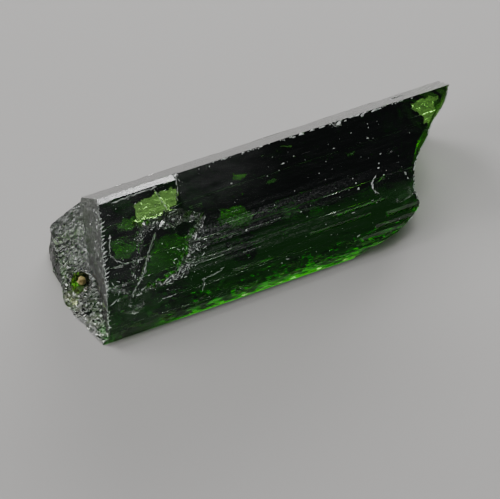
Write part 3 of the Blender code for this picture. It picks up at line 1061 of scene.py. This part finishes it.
GLASS_IOR = 1.68
GLASS_COLOUR = (0.33, 0.643, 0.02, 1)
GLASS_DENSITY = 760.0    # to a metre
CLEAR = (1, 1, 1, 1)
RUST = (0.30, 0.19, 0.07, 1)
POLISH = 0.02            # roughness of the smoothest faces
FROSTING = 0.5           # and how much more the most frosted ones have
WHITE_IOR = 3.0          # the pale film of etched and crushed places
WHITE_ROUGHNESS = 0.5

# Noises: waves to a millimetre, detail, roughness and stretch.
LINES = (5.0, 3.0, 0.6, (0.12, 1, 1))
ETCH = (6.0, 3.0, 0.6)
STROKES = (7.0, 3.0, 0.65, (1, 0.35, 0.35))
CLOUDS = (1.3, 4.0, 0.6, (0.5, 1, 1))
WAVES = (1.5, 3.0, 0.6)

# How the noises break up the white: from low to high, and the amounts they become.
ETCH_RANGE = (0.44, 0.56, 0.05, 1.0)
STROKES_RANGE = (0.42, 0.58, 0.3, 1.0)
SOLID_WHITE = (0.96, 1.0)        # the whitest faces are not broken up

# Haze of the main face: where it comes and goes along X and up Z, and how strong it is.
LEFT_HAZE = (-12.5, -8.5, 0.16, 0.0)
UPPER_HAZE = 0.2
UPPER_HAZE_COMES = (-7.8, -7.4)
UPPER_HAZE_GOES = (-3.0, 1.5, 1, 0)
UPPER_HAZE_RISES = (5.6, 7.4)
LINE_HAZE = (0.45, 0.7, 0.0, 0.05)
HAZE_CLOUDS = (0.3, 0.7, 0.3, 1.5)

RELIEF = 0.003
STREAKS = (0.9, 3.6, 3.0, 1.0)   # up Z, how much stronger the fine lines are near the foot
PITS = 3.0                       # relief of frosted faces beside the fine lines
CRACK_WAVES = 22.0               # and of the cracks inside


def white_film(tree, white, etch, strokes):
    """The white of etched and crushed faces, broken up into flecks."""
    flecks = maths(tree, "MULTIPLY", ranged(tree, etch, *ETCH_RANGE), ranged(tree, strokes, *STROKES_RANGE))
    return maths(tree, "MULTIPLY", white, maths(tree, "MAXIMUM", flecks, ranged(tree, white, *SOLID_WHITE)))


def main_face_haze(tree, lines):
    """A faint whitish haze near the rough end, behind the crest flat and along the fine lines."""
    x, z = object_axes(tree)
    upper = maths(
        tree, "MULTIPLY", ranged(tree, x, *UPPER_HAZE_COMES), ranged(tree, x, *UPPER_HAZE_GOES),
        ranged(tree, z, *UPPER_HAZE_RISES), UPPER_HAZE,
    )
    haze = maths(tree, "ADD", ranged(tree, x, *LEFT_HAZE), upper, ranged(tree, lines, *LINE_HAZE))
    clouds = ranged(tree, noise_of(tree, *CLOUDS), *HAZE_CLOUDS)
    return maths(tree, "MULTIPLY", haze, clouds, attribute(tree, "veil"))


def glass_relief(tree, lines, etch, strokes, frost):
    """Fine lines along the crystal, pits on its frosted faces and waves on the cracks inside."""
    _, z = object_axes(tree)
    streaks = maths(tree, "MULTIPLY", lines, ranged(tree, z, *STREAKS))
    pits = maths(tree, "MULTIPLY", maths(tree, "ADD", etch, strokes), frost, PITS)
    waves = maths(tree, "MULTIPLY", noise_of(tree, *WAVES), attribute(tree, "crack"), CRACK_WAVES)
    return maths(tree, "ADD", streaks, pits, waves)


def glass_material():
    """Clear crystal that lets green through, frosted, whitened and rusty where its faces say."""
    material, tree, shader = new_material(GREEN_SLOT)
    set_inputs(shader, {"IOR": GLASS_IOR, "Transmission Weight": 1.0,
                        "Coat IOR": WHITE_IOR, "Coat Roughness": WHITE_ROUGHNESS})

    frost = attribute(tree, "frost")
    lines = noise_of(tree, *LINES)
    etch = noise_of(tree, *ETCH)
    strokes = noise_of(tree, *STROKES)
    film = white_film(tree, attribute(tree, "white"), etch, strokes)
    roughness = maths(tree, "ADD", maths(tree, "MULTIPLY", frost, FROSTING), POLISH)
    coat = maths(tree, "MAXIMUM", film, main_face_haze(tree, lines))
    tree.links.new(mixed(tree, attribute(tree, "stain"), CLEAR, RUST), shader.inputs["Base Color"])
    tree.links.new(roughness, shader.inputs["Roughness"])
    tree.links.new(coat, shader.inputs["Coat Weight"])
    link_bump(tree, shader, glass_relief(tree, lines, etch, strokes, frost), RELIEF)

    absorption = node(tree, "ShaderNodeVolumeAbsorption")
    set_inputs(absorption, {"Color": GLASS_COLOUR, "Density": GLASS_DENSITY})
    tree.links.new(absorption.outputs[0], tree.nodes["Material Output"].inputs["Volume"])
    return material


# ---- dull, mottled finishes

MOTTLED_SOCKETS = (
    ("Scale", "Float", "INPUT"), ("Dark", "Color", "INPUT"), ("Pale", "Color", "INPUT"),
    ("Colour", "Color", "OUTPUT"), ("Height", "Float", "OUTPUT"),
)
MOTTLED_DETAIL = 4.0
MOTTLED_ROUGH = 0.62
MOTTLED_RANGE = (0.34, 0.64)


def mottled_group():
    """Patches that run from a dark to a pale colour, with a height for the relief."""
    group = bpy.data.node_groups.new("mottled", "ShaderNodeTree")
    for name, kind, side in MOTTLED_SOCKETS:
        group.interface.new_socket(name=name, in_out=side, socket_type=f"NodeSocket{kind}")
    given = node(group, "NodeGroupInput").outputs
    patches = node(group, "ShaderNodeTexNoise")
    set_inputs(patches, {"Detail": MOTTLED_DETAIL, "Roughness": MOTTLED_ROUGH})
    group.links.new(object_places(group), patches.inputs["Vector"])
    group.links.new(given["Scale"], patches.inputs["Scale"])
    share = ranged(group, patches.outputs["Fac"], *MOTTLED_RANGE)
    results = node(group, "NodeGroupOutput").inputs
    group.links.new(mixed(group, share, given["Dark"], given["Pale"]), results["Colour"])
    group.links.new(share, results["Height"])
    return group


def mottled_material(name, group, scale, dark, pale, roughness, relief):
    """A dull finish in patches of two colours; the relief is in millimetres."""
    material, tree, shader = new_material(name)
    set_inputs(shader, {"Roughness": roughness})
    mottled = node(tree, "ShaderNodeGroup", node_tree=group)
    set_inputs(mottled, {"Scale": scale, "Dark": dark, "Pale": pale})
    tree.links.new(mottled.outputs["Colour"], shader.inputs["Base Color"])
    link_bump(tree, shader, mottled.outputs["Height"], relief)
    return material


# Scale, dark and pale colour, roughness and relief of crushed crystal and of rusty host rock.
CRUSHED = (3.0, (0.42, 0.48, 0.43, 1), (0.88, 0.90, 0.88, 1), 0.4, 0.004)
HOST_ROCK = (2.2, (0.20, 0.14, 0.04, 1), (0.60, 0.48, 0.20, 1), 0.8, 0.03)


# ---- studio

IMAGE_WIDTH = 500
IMAGE_HEIGHT = 499
SENSOR_MM = 36.0
FOCAL_PX = 1920.0
CAMERA_PLACE = Vector((-42.74, -95.76, 125.57)) * MM
CLIP_START = 1 * MM
LOOK_AZIMUTH = 23.83     # degrees, from +Y towards +X
LOOK_DOWN = 50.0
AIM_PX = (263.63, 225.99)

# Lights: name, azimuth, elevation (degrees), distance, width and height (m), watts.
LIGHTS = (
    ("low_back", LOOK_AZIMUTH + 11, 14, 0.6, (0.5, 0.16), 5.0),
    ("back_fill", LOOK_AZIMUTH, 48, 0.8, (0.7, 0.4), 0.36),
    ("overhead", LOOK_AZIMUTH, 78, 0.9, (0.6, 0.6), 1.7),
    ("key", LOOK_AZIMUTH - 50, 40, 0.9, (0.35, 0.35), 5.0),
    ("front", LOOK_AZIMUTH + 148, 56, 0.7, (0.2, 0.22), 0.25),
    ("left", LOOK_AZIMUTH - 110, 35, 0.8, (0.5, 0.5), 2.4),
    ("rim", 49.3, 70, 0.9, (0.16, 0.16), 0.9),
)
SKY_COLOUR = (0.8, 0.85, 0.9, 1)
SKY_STRENGTH = 0.08
FLOOR_COLOUR = (0.37, 0.36, 0.35, 1)
FLOOR_ROUGHNESS = 0.6
FLOOR_SIZE = 2.0
FLOOR_GAP = 0.06 * MM    # the floor lies this far under the crystal


def sky_direction(azimuth, elevation):
    """A unit vector towards a place in the sky."""
    turn = math.radians(azimuth)
    rise = math.radians(elevation)
    return Vector((math.sin(turn) * math.cos(rise), math.cos(turn) * math.cos(rise), math.sin(rise)))


def soft_light(name, azimuth, elevation, distance, size, watts):
    """A soft panel that looks at the middle of the floor."""
    data = bpy.data.lights.new(name, "AREA")
    data.shape = "RECTANGLE"
    data.size, data.size_y = size
    data.energy = watts
    light = add_object(name, data)
    direction = sky_direction(azimuth, elevation)
    light.location = direction * distance
    light.rotation_mode = "QUATERNION"
    light.rotation_quaternion = (-direction).to_track_quat("-Z", "Y")


def make_sky():
    world = bpy.data.worlds.new("studio")
    world.use_nodes = True
    set_inputs(world.node_tree.nodes["Background"], {"Color": SKY_COLOUR, "Strength": SKY_STRENGTH})
    bpy.context.scene.world = world


def make_floor():
    bpy.ops.object.select_all(action="DESELECT")
    bpy.ops.mesh.primitive_plane_add(size=FLOOR_SIZE, location=(0, 0, -FLOOR_GAP))
    floor = bpy.context.object
    floor.name = "floor"
    material, _, shader = new_material("pale_floor")
    set_inputs(shader, {"Base Color": FLOOR_COLOUR, "Roughness": FLOOR_ROUGHNESS})
    floor.data.materials.append(material)


def make_camera():
    data = bpy.data.cameras.new("camera")
    data.sensor_width = SENSOR_MM
    data.lens = FOCAL_PX / IMAGE_WIDTH * SENSOR_MM
    data.clip_start = CLIP_START
    camera = add_object("camera", data)
    camera.location = CAMERA_PLACE
    left = math.atan((AIM_PX[0] - IMAGE_WIDTH / 2) / FOCAL_PX)
    down = math.atan((IMAGE_HEIGHT / 2 - AIM_PX[1]) / FOCAL_PX)
    look = sky_direction(LOOK_AZIMUTH, -LOOK_DOWN)
    turn = look.to_track_quat("-Z", "Y") @ Quaternion((0, 1, 0), left) @ Quaternion((1, 0, 0), -down)
    camera.rotation_mode = "QUATERNION"
    camera.rotation_quaternion = turn
    bpy.context.scene.camera = camera


make_camera()
for light in LIGHTS:
    soft_light(*light)
make_sky()
make_floor()
crystal = make_crystal(glass_material())
mottled = mottled_group()
make_splinters(crystal, mottled_material("splinter_white", mottled, *CRUSHED))
make_grain(mottled_material(TAN_SLOT, mottled, *HOST_ROCK))
bpy.context.scene.cycles.use_denoising = True
